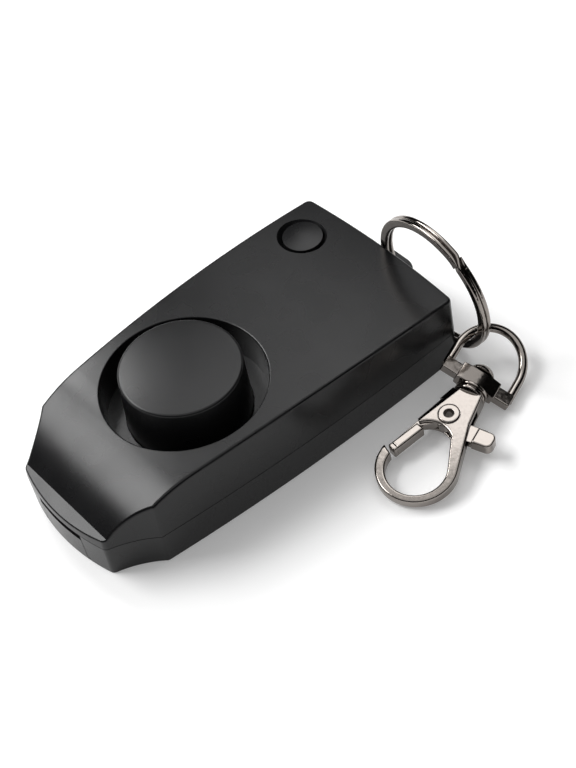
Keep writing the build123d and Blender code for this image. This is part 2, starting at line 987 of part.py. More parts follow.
rear_contact = block(
    -contact_half_width,
    contact_half_width,
    cell_places[2] - contact_half_width,
    rear_wall_y,
    wall,
    wall + contact,
)
rear_contact += block(
    -contact_half_width, contact_half_width, rear_wall_y - contact, rear_wall_y, wall, contact_top
)
rear_contact += block(
    -contact_half_width,
    -contact_half_width + contact_tail,
    rear_wall_y - contact,
    bay_end_y + bay_wall + contact_tail,
    contact_low,
    contact_top,
)

# Leads
siren_leads = rod(siren_lead_x, siren_y, ceramic_top, board_low, lead_radius)
siren_leads = Compound(
    [siren_leads, rod(disc_lead_x, siren_y, disc_top, board_low, lead_radius)]
)
switch_lead_list = []
for step in (0, 1):
    start_y = well_y - step * lead_spacing
    side = lead_side - step * lead_spacing
    switch_lead_list.append(
        wire_along(
            [
                (lead_drop_x, start_y, switch_board_top),
                (lead_drop_x, start_y, lead_over),
                (side, start_y, lead_over),
                (side, start_y, lead_level),
                (side, lead_board_y, lead_level),
                (side, lead_board_y, board_low),
            ],
            lead_radius,
        )
    )
switch_leads = Compound(switch_lead_list)
battery_lead_front = wire_along(
    [
        (-lead_side + lead_radius, cell_places[0], contact_low),
        (-lead_side + lead_radius, cell_places[0], lead_level),
        (-lead_side + lead_radius, lead_board_y, lead_level),
        (-lead_side + lead_radius, lead_board_y, board_low),
    ],
    lead_radius,
)
rear_tail_x = -contact_half_width + contact_tail / 2
rear_tail_y = bay_end_y + bay_wall + contact_tail / 2
battery_lead_rear = wire_along(
    [
        (rear_tail_x, rear_tail_y, contact_low),
        (rear_tail_x, rear_tail_y, lead_level),
        (-lead_side + lead_radius + lead_spacing, rear_tail_y, lead_level),
        (-lead_side + lead_radius + lead_spacing, lead_board_y, lead_level),
        (-lead_side + lead_radius + lead_spacing, lead_board_y, board_low),
    ],
    lead_radius,
)
battery_leads = Compound([battery_lead_front, battery_lead_rear])

# Housing screws
screws = []
for place in nose_places + board_places:
    screw = rod(place[0], place[1], screw_head_low, wall, screw_head_radius)
    screw = fillet(screw.edges().sort_by(Axis.Z)[0], screw_head_low / 2)
    screw += rod(place[0], place[1], wall, screw_tip, screw_radius)
    hexagon = RegularPolygon(socket_radius, 6)
    screw -= Pos(place[0], place[1], screw_head_low - overrun) * extrude(
        hexagon, amount=overrun + socket_depth
    )
    screws.append(screw)
housing_screws = Compound(screws)

# Key ring: two flat coils joined by one step
ring_mid_radius = ring_radius - ring_wire_height / 2
ring_centre_z = ring_radius + ring_floor_gap
ring_rise = ring_centre_z - lug_mid
yaw = math.radians(ring_yaw)
lean = math.radians(ring_lean)
ring_along = Vector(math.cos(yaw), -math.sin(yaw), 0)
ring_across = Vector(math.sin(yaw) * math.cos(lean), math.cos(yaw) * math.cos(lean), math.sin(lean))
ring_upward = ring_along.cross(ring_across)
ring_half_width = ring_wire_width + ring_coil_gap / 2
ring_eye = Vector(ring_wire_x, end_y + ring_wall_gap + ring_half_width, lug_mid)
ring_offset = math.sqrt(ring_mid_radius**2 - ring_rise**2)
ring_centre = ring_eye + ring_along * ring_offset + ring_upward * ring_rise
ring_plane = Plane(origin=ring_centre, x_dir=ring_along, z_dir=-ring_across)
layer = (ring_wire_width + ring_coil_gap) / 2


def ring_section(angle, level):
    """The key ring's wire section at an angle round the ring, at a level along its axis."""
    section = Plane.XZ * Pos(ring_mid_radius, level) * RectangleRounded(
        ring_wire_height, ring_wire_width, ring_wire_round
    )
    return Rot(0, 0, angle) * section


half_turn = ring_step_turn / 2
coil_turn = 360 - ring_step_turn - ring_end_gap
first_coil = revolve(ring_section(half_turn + ring_end_gap, layer), Axis.Z, coil_turn)
second_coil = revolve(ring_section(half_turn, -layer), Axis.Z, coil_turn)
step_shares = [-1.0, -0.75, -0.45, -0.15, 0.15, 0.45, 0.75, 1.0]
step_sections = []
for share in step_shares:
    sideways = layer * math.sin(math.radians(90) * share)
    step_sections.append(ring_section(half_turn * share, -sideways))
step_body = loft(step_sections)
key_ring = ring_plane * Rot(0, 0, ring_step_angle) * (first_coil + second_coil + step_body)

# The clasp's frame: X runs along the stud towards the hook, Y to its right, Z up
heading = math.radians(clasp_heading)
slope = math.radians(clasp_slope)
roll = math.radians(dee_roll)
clasp_along = Vector(
    math.cos(heading) * math.cos(slope), math.sin(heading) * math.cos(slope), -math.sin(slope)
)
clasp_right = Vector(-math.sin(heading), math.cos(heading), 0)
clasp_up = clasp_along.cross(clasp_right)
dee_right = clasp_right * math.cos(roll) - clasp_up * math.sin(roll)
dee_up = clasp_along.cross(dee_right)
clasp_origin = Vector(clasp_x, end_y - clasp_setback, clasp_z)
dee_plane = Plane(origin=clasp_origin, x_dir=clasp_along, z_dir=dee_up)
hook_plane = Plane(origin=clasp_origin, x_dir=clasp_along, z_dir=clasp_up)
lengthwise = Rot(0, 90, 0)

# Swivel ring: bar, boss and bent wire
dee_path = Wire(
    [
        Edge.make_line((0, dee_half_width, 0), (-dee_leg, dee_half_width, 0)),
        EllipticalCenterArc((-dee_leg, 0), dee_arch, dee_half_width, start_angle=90, arc_size=180).edge(),
        Edge.make_line((-dee_leg, -dee_half_width, 0), (0, -dee_half_width, 0)),
    ]
)
dee_start = Plane(origin=(0, dee_half_width, 0), z_dir=(-1, 0, 0))
swivel = sweep(dee_start * Circle(dee_wire_radius), dee_path)
bar = block(
    -dee_bar_half_width,
    dee_bar_half_width,
    -dee_bar_half_length,
    dee_bar_half_length,
    -dee_bar_half_height,
    dee_bar_half_height,
)
bar = fillet(bar.edges(), dee_edge_round)
hub_top = ThreePointArc(
    (-hub_half_length, hub_end_half_height), (0, hub_mid_half_height), (hub_half_length, hub_end_half_height)
)
hub_right = Line((hub_half_length, hub_end_half_height), (hub_half_length, -hub_end_half_height))
hub_base = ThreePointArc(
    (hub_half_length, -hub_end_half_height), (0, -hub_mid_half_height), (-hub_half_length, -hub_end_half_height)
)
hub_left = Line((-hub_half_length, -hub_end_half_height), (-hub_half_length, hub_end_half_height))
hub_face = make_face([hub_top, hub_right, hub_base, hub_left])
hub = Pos(hub_start, 0, 0) * extrude(Plane.YZ * hub_face, amount=hub_end - hub_start, dir=(1, 0, 0))
hub = fillet(hub.edges(), dee_edge_round)
swivel = swivel + bar + hub
swivel -= lengthwise * rod(0, 0, -overrun, overrun, stud_radius + stud_gap)
swivel_ring = dee_plane * swivel

# Swivel stud
stud_head_low = hub_start - stud_gap
stud = turned(
    0,
    0,
    [
        (0, stud_head_low),
        (stud_radius, stud_head_low),
        (stud_radius, stud_end),
        (0, stud_end),
    ],
)
head_sphere = (stud_head_radius**2 + stud_head_height**2) / (2 * stud_head_height)
head = Pos(0, 0, stud_head_low - stud_head_height + head_sphere) * Sphere(head_sphere)
head &= rod(0, 0, stud_head_low - 2 * stud_head_height, stud_head_low, 2 * stud_head_radius)
swivel_stud = hook_plane * lengthwise * (stud + head)

# Clasp hook
back_angle = math.radians(90 + back_slope)
back_end = (
    loop_x + loop_radius * math.cos(back_angle),
    loop_y + loop_radius * math.sin(back_angle),
)
tip = (
    loop_x + loop_radius * math.cos(math.radians(tip_angle)),
    loop_y + loop_radius * math.sin(math.radians(tip_angle)),
)
throat_angle = math.radians(90 + throat_slope)
throat_out = (
    loop_eye_x + loop_eye_radius * math.cos(throat_angle),
    loop_eye_y + loop_eye_radius * math.sin(throat_angle),
)
tip_inner = (
    loop_eye_x + loop_eye_radius * math.cos(math.radians(tip_inner_angle)),
    loop_eye_y + loop_eye_radius * math.sin(math.radians(tip_inner_angle)),
)
neck_edge = Polyline(
    (cheek_tip_x, cheek_tip_y),
    (cheek_bend_x, cheek_bend_y),
    (neck_x, neck_left),
    (neck_x, neck_right),
    (back_bend_x, back_bend_y),
    back_end,
)
loop_outer = ThreePointArc(back_end, (loop_x + loop_radius, loop_y), tip)
loop_tip = Line(tip, tip_inner)
loop_inner = ThreePointArc(tip_inner, (loop_eye_x + loop_eye_radius, loop_eye_y), throat_out)
throat = Polyline(throat_out, (throat_end_x, throat_end_y))
throat_round = ThreePointArc(
    (throat_end_x, throat_end_y), (throat_x, throat_y), (cheek_end_x, cheek_end_y)
)
cheek_end = Line((cheek_end_x, cheek_end_y), (cheek_tip_x, cheek_tip_y))
hook_face = make_face([neck_edge, loop_outer, loop_tip, loop_inner, throat, throat_round, cheek_end])
loop_end_x = loop_x + loop_radius
hook_side = Polyline(
    (neck_x, -hook_half_thickness),
    (loop_end_x, loop_low),
    (loop_end_x, loop_high),
    (neck_x, hook_half_thickness),
    close=True,
)
hook = extrude(hook_face, amount=hook_half_thickness, both=True)
hook &= extrude(Plane.XZ * make_face(hook_side), amount=slot_reach, both=True)
hook_rims = []
for flat in (hook.faces().sort_by(Axis.Z)[0], hook.faces().sort_by(Axis.Z)[-1]):
    hook_rims += [e for e in flat.edges() if (e @ 0.5).X > neck_x + fit_gap]
hook = fillet(hook_rims, hook_edge_round)
bevel_turn = math.degrees(math.atan2(cheek_tip_y - neck_left, cheek_tip_x - neck_x))
for side in (-1, 1):
    bevel_face = make_face(
        Polyline(
            (0, side * bevel_low),
            (bevel_width, side * hook_half_thickness),
            (bevel_width, side * 2 * hook_half_thickness),
            (-overrun, side * 2 * hook_half_thickness),
            (-overrun, side * bevel_low),
            close=True,
        )
    )
    bevel = extrude(Plane.YZ * bevel_face, amount=2 * cheek_tip_x, both=True)
    hook -= Pos(neck_x, neck_left, 0) * Rot(0, 0, bevel_turn) * bevel
collar_waist_start = collar_start + collar_flange
collar_waist_end = collar_waist_start + collar_waist
collar_end = collar_waist_end + collar_flange
collar = turned(
    0,
    0,
    [
        (0, collar_start),
        (collar_radius, collar_start),
        (collar_radius, collar_waist_start),
        (collar_waist_radius, collar_waist_start),
        (collar_waist_radius, collar_waist_end),
        (collar_radius, collar_waist_end),
        (collar_radius, collar_end),
        (0, collar_end),
    ],
)
collar_edges = collar.edges().filter_by(GeomType.CIRCLE)
collar_rims = [e for e in collar_edges if near(e.radius, collar_radius, contact_gap)]
hook += lengthwise * fillet(collar_rims, collar_round)
hook -= lengthwise * rod(0, 0, 0, stud_end + contact_gap, stud_radius + contact_gap)
hook -= block(slot_start, slot_end, -slot_reach, slot_reach, -slot_half_height, slot_half_height)
hook -= Pos(pivot_x, pivot_y, 0) * Cylinder(rivet_radius + contact_gap, case_height)
rivet_top = rivet_seat + rivet_flange_height
for low, high in ((-case_height, -rivet_seat), (rivet_seat, case_height)):
    hook -= rod(pivot_x, pivot_y, low, high, rivet_flange_radius + fit_gap)
leg_y = pivot_y - gate_spring_radius
leg_z = gate_spring_low
leg_pocket = lengthwise * rod(
    0,
    0,
    pivot_x - gate_spring_leg - gate_spring_gap,
    pivot_x,
    gate_spring_wire_radius + gate_spring_gap,
)
hook -= Pos(0, leg_y, leg_z) * leg_pocket
clasp_hook = hook_plane * hook

# Gate lever, its rivet and its spring
lever_face = Pos(pivot_x, pivot_y) * Circle(hub_radius)
for shares in (arm_shares, gate_shares, tab_shares):
    lever_face += make_face(Polyline(*scaled(shares, lever_reach), close=True))
lever = extrude(lever_face, amount=lever_half_thickness, both=True)
for shares in (tab_pad_shares, gate_bar_shares):
    pad_face = make_face(Polyline(*scaled(shares, lever_reach), close=True))
    outer_corners = [v for v in pad_face.vertices() if v.Y > back_bend_y + 2 * tab_round]
    if outer_corners:
        pad_face = fillet(outer_corners, tab_round)
    pad = extrude(pad_face, amount=pad_half_thickness, both=True)
    rims = [e for e in pad.edges() if near(abs((e @ 0.5).Z), pad_half_thickness, contact_gap)]
    lever += fillet(rims, lever_edge_round)
lever -= Pos(pivot_x, pivot_y, 0) * Cylinder(rivet_radius + rivet_gap, case_height)
spring_room = gate_spring_radius + gate_spring_wire_radius + gate_spring_gap
lever -= Pos(pivot_x, pivot_y, 0) * rod(0, 0, 0, case_height, spring_room)
lever -= block(
    pivot_x - 2 * hub_radius,
    pivot_x - stud_radius / 2,
    pivot_y - spring_room,
    pivot_y + gate_cut_reach,
    0,
    case_height,
)
gate_lever = hook_plane * lever

rivet = Cylinder(rivet_radius, 2 * rivet_top)
for low in (-rivet_top, rivet_seat):
    head_disc = rod(0, 0, low, low + rivet_flange_height, rivet_flange_radius)
    rivet += fillet(head_disc.edges().filter_by(GeomType.CIRCLE), rivet_edge_round)
rivet -= Cylinder(rivet_bore, case_height)
lever_rivet = hook_plane * Pos(pivot_x, pivot_y, 0) * rivet

gate_spring = Rot(0, 0, -90) * coil_spring(
    gate_spring_wire_radius, gate_spring_radius, gate_spring_height, gate_spring_pitch
)
gate_spring = Pos(pivot_x, pivot_y, gate_spring_low) * gate_spring
gate_spring += Pos(0, leg_y, leg_z) * lengthwise * rod(
    0, 0, pivot_x - gate_spring_leg, pivot_x, gate_spring_wire_radius
)
gate_spring = hook_plane * gate_spring

nodes = {
    "top_shell": top_shell,
    "bottom_shell": bottom_shell,
    "battery_door": battery_door,
    "alarm_button": alarm_button,
    "alarm_button_spring": alarm_button_spring,
    "alarm_switch_board": alarm_switch_board,
    "alarm_switch": alarm_switch,
    "off_button": off_button,
    "off_switch": off_switch,
    "circuit_board": circuit_board,
    "control_chip": control_chip,
    "step_up_coil": step_up_coil,
    "driver_transistor": driver_transistor,
    "storage_capacitor": storage_capacitor,
    "siren_disc": siren_disc,
    "siren_ceramic": siren_ceramic,
    "siren_retainer": siren_retainer,
    "siren_gasket": siren_gasket,
    "cell_front": cell_front,
    "cell_middle": cell_middle,
    "cell_rear": cell_rear,
    "front_contact": front_contact,
    "top_bridge_contact": top_bridge_contact,
    "door_bridge_contact": door_bridge_contact,
    "rear_contact": rear_contact,
    "siren_leads": siren_leads,
    "switch_leads": switch_leads,
    "battery_leads": battery_leads,
    "housing_screws": housing_screws,
    "key_ring": key_ring,
    "swivel_ring": swivel_ring,
    "swivel_stud": swivel_stud,
    "clasp_hook": clasp_hook,
    "gate_lever": gate_lever,
    "lever_rivet": lever_rivet,
    "gate_spring": gate_spring,
}
os.makedirs("parts", exist_ok=True)
for name, shape in nodes.items():
    export_step(shape, "parts/" + name + ".step")
    box = shape.bounding_box()
    print(name, len(shape.solids()), round(shape.volume, 2), shape.is_valid, box)
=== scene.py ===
import json
import math

import bpy
from mathutils import Matrix, Vector


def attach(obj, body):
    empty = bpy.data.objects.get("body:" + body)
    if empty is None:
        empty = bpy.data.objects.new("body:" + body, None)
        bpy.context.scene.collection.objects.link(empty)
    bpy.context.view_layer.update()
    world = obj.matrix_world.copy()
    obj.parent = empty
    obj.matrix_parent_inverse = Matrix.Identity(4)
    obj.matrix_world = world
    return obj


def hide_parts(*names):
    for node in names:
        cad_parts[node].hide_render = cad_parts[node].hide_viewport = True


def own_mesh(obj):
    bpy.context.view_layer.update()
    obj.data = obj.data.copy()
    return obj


bl_info = {
    "name": "Personal safety alarm",
    "version": (1, 0, 0),
    "blender": (4, 5, 0),
    "location": "View3D > Sidebar > Alarm",
    "description": "Finishes a pocket alarm with a split ring and a clasp, and sets its studio",
    "category": "Object",
}

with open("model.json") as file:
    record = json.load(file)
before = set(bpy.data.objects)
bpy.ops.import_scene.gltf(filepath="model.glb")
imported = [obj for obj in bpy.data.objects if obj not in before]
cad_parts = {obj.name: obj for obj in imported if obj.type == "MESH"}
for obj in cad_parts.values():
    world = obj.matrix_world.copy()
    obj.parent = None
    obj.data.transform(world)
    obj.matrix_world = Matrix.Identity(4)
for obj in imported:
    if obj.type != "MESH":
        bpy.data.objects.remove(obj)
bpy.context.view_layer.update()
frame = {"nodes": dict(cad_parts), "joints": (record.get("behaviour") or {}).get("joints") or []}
MM = 0.001


def hinge(name):
    """The place in millimetres and the axis of one of the part's own hinges."""
    joint = next(joint for joint in frame["joints"] if joint["name"] == name)
    return Vector(joint["pos_m"]) / MM, Vector(joint["axis"])


# The swivel ring slides about the split ring's own axis
RING_CENTRE, RING_AXIS = hinge("swivel_ring_slide")
RING_ALONG = Vector((0, 0, 1)).cross(RING_AXIS).normalized()
RING_SIDE = RING_AXIS.cross(RING_ALONG)
# Outer radius of the split ring in millimetres, and the step between its coils in degrees
RING_RADIUS = 14.0
RING_STEP_ANGLE = 56.0
# The hook turns about the clasp's length, and the gate about the upright of the clasp's plane
CLASP_ORIGIN, CLASP_ALONG = hinge("hook_swivel")
_, CLASP_UP = hinge("gate_lever_open")
CLASP_RIGHT = CLASP_UP.cross(CLASP_ALONG)

# Sections of a wire's tip, in degrees round the ring from the middle of the step. The wire has
# its full width down to TIP_FULL, and gets thinner from there to the last section.
TIP_STATIONS = (7.0, 6.0, 4.5, 3.0, 1.5, 0.0, -1.2, -2.2)
TIP_FULL = 6.0
# The largest corner of a thin section, as a share of its width
CORNER_SHARE = 0.45
# Steps of a quarter turn in a rounded corner
CORNER_STEPS = 5

# The solid's end of the gate's bar in the clasp's own plane, and the bar's section there, in
# millimetres
BAR_END = Vector((18.6, -6.9))
BAR_ALONG = Vector((0.927, -0.374)).normalized()
BAR_WIDTH = 1.74
BAR_HEIGHT = 2.38
BAR_CORNER = 0.24
BAR_END_ROUND = 0.15

# A turn between facets that is smaller than this is shaded as one face
SMOOTH_ANGLE = math.radians(35)

# Moulded plastic: size of the flow marks in millimetres, and how far they move sheen and tone
FLOW_SIZE = 9
FLOW_SHEEN = 0.03
FLOW_TONE = 0.1
ABS_IOR = 1.46
ABS_SPECULAR_LEVEL = 0.35
# Plating: size of the rubbed patches in millimetres, and the haze that they add
RUB_SIZE = 0.5
RUB_HAZE = 0.09
# Socket numbers of the colours in a colour mix node
MIX_FIRST, MIX_SECOND, MIX_RESULT = 6, 7, 2

# The point on the floor that the camera and the lamps look at, in metres
STAGE_MIDDLE = Vector((0.00153, 0.01189, 0))
# Name, place, width and height of each lamp, in metres
KEY_LAMP = ("key_soft_light", (-0.34, -0.235, 0.455), 0.36, 0.25)
TOP_LAMP = ("top_soft_light", (-0.23, 0.31, 0.52), 0.32, 0.32)
NEAR_LAMP = ("near_soft_light", (-0.12, 0.0, 0.13), 0.05, 0.05)
# The floor's lift grows from its setting to FADE_LEVEL between these distances, in metres
FADE_START, FADE_END = 0.12, 0.9
FADE_LEVEL = 0.66
PAPER_COLOUR = (0.92, 0.92, 0.92, 1)
CARD_COLOUR = (0.01, 0.01, 0.01, 1)
WHITE = (1, 1, 1, 1)
# Azimuth, elevation and roll of the camera in degrees, its lens and sensor in millimetres, and
# the range that it sees in metres
CAMERA_ANGLES = (56.347, 49.394, -10.135)
CAMERA_LENS = 79.69
CAMERA_SENSOR = 36
CAMERA_RANGE = (0.01, 20)


def linear(code):
    """The linear colour of an sRGB hex value."""
    parts = [int(code[step : step + 2], 16) / 255 for step in (1, 3, 5)]
    return tuple(p / 12.92 if p <= 0.04045 else ((p + 0.055) / 1.055) ** 2.4 for p in parts)


def add_node(tree, kind, links=None, inputs=None, **settings):
    """Add a node, set its settings and input values, and link other sockets into it."""
    node = tree.nodes.new(kind)
    for name, value in settings.items():
        setattr(node, name, value)
    for name, value in (inputs or {}).items():
        node.inputs[name].default_value = value
    for name, socket in (links or {}).items():
        tree.links.new(socket, node.inputs[name])
    return node


def new_surface(name):
    """An empty material, its tree and shader, and the object coordinates that patterns read."""
    material = bpy.data.materials.new(name)
    material.use_nodes = True
    tree = material.node_tree
    tree.nodes.clear()
    shader = add_node(tree, "ShaderNodeBsdfPrincipled")
    add_node(tree, "ShaderNodeOutputMaterial", links={"Surface": shader.outputs["BSDF"]})
    place = add_node(tree, "ShaderNodeTexCoord").outputs["Object"]
    return material, tree, shader, place


def cycles_per_metre(size_mm):
    """A noise scale whose features are about this many millimetres across."""
    return 1 / (size_mm * MM)


def node_box(name):
    """The lowest and highest corner of a CAD node."""
    spots = [corner.co for corner in frame["nodes"][name].data.vertices]
    low = Vector([min(spot[axis] for spot in spots) for axis in range(3)])
    high = Vector([max(spot[axis] for spot in spots) for axis in range(3)])
    return low, high


def paint(names, material):
    """Give CAD nodes a material."""
    for name in names:
        piece = frame["nodes"][name]
        piece.data.materials.clear()
        piece.data.materials.append(material)


def moulded_abs(name, colour, roughness, grain_mm, grain_depth_mm):
    """Injection moulded ABS: a deep even black with a soft sheen.

    The tool's spark finish leaves a grain too fine to see singly, drawn here a little coarser than
    life, and slow flow marks that change sheen and tone by a little.
    """
    material, tree, shader, place = new_surface(name)
    flow = add_node(
        tree, "ShaderNodeTexNoise", links={"Vector": place},
        inputs={"Scale": cycles_per_metre(FLOW_SIZE), "Detail": 2.0},
    )
    sheen = add_node(
        tree, "ShaderNodeMapRange", links={"Value": flow.outputs["Fac"]},
        inputs={
            "From Min": 0.3, "From Max": 0.7,
            "To Min": roughness - FLOW_SHEEN, "To Max": roughness + FLOW_SHEEN,
        },
    )
    grain = add_node(
        tree, "ShaderNodeTexNoise", links={"Vector": place},
        inputs={"Scale": cycles_per_metre(grain_mm), "Detail": 3.0, "Roughness": 0.6},
    )
    bump = add_node(
        tree, "ShaderNodeBump", links={"Height": grain.outputs["Fac"]},
        inputs={"Strength": 0.35, "Distance": grain_depth_mm * MM},
    )
    tone = add_node(
        tree, "ShaderNodeMix", data_type="RGBA", links={"Factor": flow.outputs["Fac"]},
        inputs={
            MIX_FIRST: (*[c * (1 - FLOW_TONE) for c in colour], 1),
            MIX_SECOND: (*[c * (1 + FLOW_TONE) for c in colour], 1),
        },
    )
    tree.links.new(tone.outputs[MIX_RESULT], shader.inputs["Base Color"])
    tree.links.new(sheen.outputs["Result"], shader.inputs["Roughness"])
    tree.links.new(bump.outputs["Normal"], shader.inputs["Normal"])
    shader.inputs["IOR"].default_value = ABS_IOR
    shader.inputs["Specular IOR Level"].default_value = ABS_SPECULAR_LEVEL
    return material


def crown(material, centre, radius_m):
    """Add the slight crown of a moulded face, as part of a sphere about the face's middle."""
    tree = material.node_tree
    place = next(n for n in tree.nodes if n.type == "TEX_COORD").outputs["Object"]
    grain = next(n for n in tree.nodes if n.type == "BUMP")
    away = add_node(
        tree, "ShaderNodeVectorMath", operation="DISTANCE", links={0: place}, inputs={1: centre}
    )
    squared = add_node(
        tree, "ShaderNodeMath", operation="POWER", links={0: away.outputs["Value"]}, inputs={1: 2.0}
    )
    drop = add_node(
        tree, "ShaderNodeMath", operation="MULTIPLY", links={0: squared.outputs[0]},
        inputs={1: -0.5 / radius_m},
    )
    bump = add_node(
        tree, "ShaderNodeBump", links={"Height": drop.outputs[0]},
        inputs={"Strength": 1.0, "Distance": 1.0},
    )
    tree.links.new(bump.outputs["Normal"], grain.inputs["Normal"])


def nickel_plate(name, colour, roughness, wave_mm, wave_depth_mm, edge_mm):
    """Bright nickel plating over a zinc casting or steel wire: mirror bright, a little warm.

    The plating follows the faint waviness of what is under it, which bends the reflections, and
    the tumbling before it leaves small round edges that catch the light.
    """
    material, tree, shader, place = new_surface(name)
    wave = add_node(
        tree, "ShaderNodeTexNoise", links={"Vector": place},
        inputs={"Scale": cycles_per_metre(wave_mm), "Detail": 2.0},
    )
    rub = add_node(
        tree, "ShaderNodeTexNoise", links={"Vector": place},
        inputs={"Scale": cycles_per_metre(RUB_SIZE), "Detail": 4.0},
    )
    haze = add_node(
        tree, "ShaderNodeMapRange", links={"Value": rub.outputs["Fac"]},
        inputs={
            "From Min": 0.35, "From Max": 0.75, "To Min": roughness, "To Max": roughness + RUB_HAZE,
        },
    )
    bump = add_node(
        tree, "ShaderNodeBump", links={"Height": wave.outputs["Fac"]},
        inputs={"Strength": 0.5, "Distance": wave_depth_mm * MM},
    )
    worn = add_node(tree, "ShaderNodeBevel", samples=6, inputs={"Radius": edge_mm * MM})
    tree.links.new(worn.outputs["Normal"], bump.inputs["Normal"])
    tree.links.new(haze.outputs["Result"], shader.inputs["Roughness"])
    tree.links.new(bump.outputs["Normal"], shader.inputs["Normal"])
    shader.inputs["Base Color"].default_value = (*colour, 1)
    shader.inputs["Metallic"].default_value = 1.0
    return material


def plain_stock(name, light, dark, roughness, fleck_mm, metallic=0.0, depth_mm=0.002):
    """Stock of two tones, mixed in flecks of a real size: mask, winding, sheet, wire or foam."""
    material, tree, shader, place = new_surface(name)
    fleck = add_node(
        tree, "ShaderNodeTexNoise", links={"Vector": place},
        inputs={"Scale": cycles_per_metre(fleck_mm), "Detail": 3.0},
    )
    tone = add_node(
        tree, "ShaderNodeMix", data_type="RGBA", links={"Factor": fleck.outputs["Fac"]},
        inputs={MIX_FIRST: (*linear(light), 1), MIX_SECOND: (*linear(dark), 1)},
    )
    bump = add_node(
        tree, "ShaderNodeBump", links={"Height": fleck.outputs["Fac"]},
        inputs={"Strength": 0.4, "Distance": depth_mm * MM},
    )
    tree.links.new(tone.outputs[MIX_RESULT], shader.inputs["Base Color"])
    tree.links.new(bump.outputs["Normal"], shader.inputs["Normal"])
    shader.inputs["Metallic"].default_value = metallic
    shader.inputs["Roughness"].default_value = roughness
    return material


class CaseFinish(bpy.types.PropertyGroup):
    case_colour: bpy.props.FloatVectorProperty(
        name="Case colour", description="Colour of the moulded case",
        subtype="COLOR", size=3, min=0, max=1, default=linear("#111112"),
    )
    case_roughness: bpy.props.FloatProperty(
        name="Case roughness", description="Sheen of the case, from mirror to matt",
        subtype="FACTOR", min=0, max=1, default=0.27,
    )
    button_colour: bpy.props.FloatVectorProperty(
        name="Button colour", description="Colour of the two push buttons",
        subtype="COLOR", size=3, min=0, max=1, default=linear("#131314"),
    )
    button_roughness: bpy.props.FloatProperty(
        name="Button roughness", description="Sheen of the buttons",
        subtype="FACTOR", min=0, max=1, default=0.3,
    )
    button_crown: bpy.props.FloatProperty(
        name="Button crown", description="Radius of the alarm button's crowned face",
        unit="LENGTH", min=0.01, default=0.11,
    )
    button_travel: bpy.props.FloatProperty(
        name="Button travel", description="How far the alarm button goes down",
        unit="LENGTH", min=0, default=0.0015,
    )


class MetalFinish(bpy.types.PropertyGroup):
    plate_colour: bpy.props.FloatVectorProperty(
        name="Plating colour", description="Colour of the bright nickel plating",
        subtype="COLOR", size=3, min=0, max=1, default=linear("#908a85"),
    )
    plate_roughness: bpy.props.FloatProperty(
        name="Plating roughness", description="Haze of the plating",
        subtype="FACTOR", min=0, max=1, default=0.07,
    )
    wire_height: bpy.props.FloatProperty(
        name="Wire height", description="Radial height of the ring's wire in millimetres",
        min=0.1, default=1.75,
    )
    wire_width: bpy.props.FloatProperty(
        name="Wire width", description="Width of the ring's wire in millimetres",
        min=0.1, default=0.92,
    )
    wire_round: bpy.props.FloatProperty(
        name="Wire corners", description="Corner radius of the ring's wire in millimetres",
        min=0.01, default=0.4,
    )
    coil_gap: bpy.props.FloatProperty(
        name="Coil gap", description="Gap between the two coils in millimetres",
        min=0.01, default=0.06,
    )
    tip_length: bpy.props.FloatProperty(
        name="Gate tip length", description="Length of the gate's tip in millimetres",
        min=0.2, default=0.8,
    )


class StudioSettings(bpy.types.PropertyGroup):
    key_power: bpy.props.FloatProperty(
        name="Key power", description="Power of the small bright light over the nose",
        min=0, default=2.8,
    )
    top_power: bpy.props.FloatProperty(
        name="Top power", description="Power of the large soft light behind",
        min=0, default=0.7,
    )
    near_power: bpy.props.FloatProperty(
        name="Near power", description="Power of the small light close to the alarm button",
        min=0, default=0.1,
    )
    room_strength: bpy.props.FloatProperty(
        name="Room light", description="Light of the room on everything", min=0, default=0.4,
    )
    floor_lift: bpy.props.FloatProperty(
        name="Floor lift", description="What the pale floor gains for the eye",
        min=0, default=0.14,
    )
    card_distance: bpy.props.FloatProperty(
        name="Card distance", description="From the middle to the dark cards that metal mirrors",
        unit="LENGTH", default=0.6,
    )
    card_height: bpy.props.FloatProperty(
        name="Card height", description="Height of the dark cards", unit="LENGTH", default=0.74,
    )
    card_lift: bpy.props.FloatProperty(
        name="Card lift", description="Height of the cards above the floor",
        unit="LENGTH", default=0.02,
    )
    floor_size: bpy.props.FloatProperty(
        name="Floor size", description="Side of the square floor", unit="LENGTH", default=6.0,
    )
    camera_distance: bpy.props.FloatProperty(
        name="Camera distance", description="From the camera to the point it looks at",
        unit="LENGTH", default=0.3163,
    )


def shape_up(name, mesh, mend, material):
    """Put a mesh in the scene as a piece, mend it all over in edit mode and shade it smooth."""
    piece = bpy.data.objects.new(name, mesh)
    bpy.context.scene.collection.objects.link(piece)
    bpy.ops.object.select_all(action="DESELECT")
    piece.select_set(True)
    bpy.context.view_layer.objects.active = piece
    bpy.ops.object.mode_set(mode="EDIT")
    bpy.ops.mesh.select_all(action="SELECT")
    mend()
    bpy.ops.object.mode_set(mode="OBJECT")
    bpy.ops.object.shade_smooth_by_angle(angle=SMOOTH_ANGLE)
    mesh.materials.clear()
    mesh.materials.append(material)
    return piece


def merge_doubles():
    """Join the loose triangles of a copied CAD mesh."""
    bpy.ops.mesh.remove_doubles(threshold=0.001 * MM)


def point_outwards():
    """Make all faces point outwards."""
    bpy.ops.mesh.normals_make_consistent(inside=False)


def pressed_spring(material):
    """The return spring again, as a piece of its own that rides on the case, in place of the CAD
    spring.
    """
    mesh = frame["nodes"]["alarm_button_spring"].data.copy()
    mesh.name = "return_spring"
    spring = shape_up("return_spring", mesh, merge_doubles, material)
    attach(spring, "case")
    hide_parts("alarm_button_spring")
    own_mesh(spring)


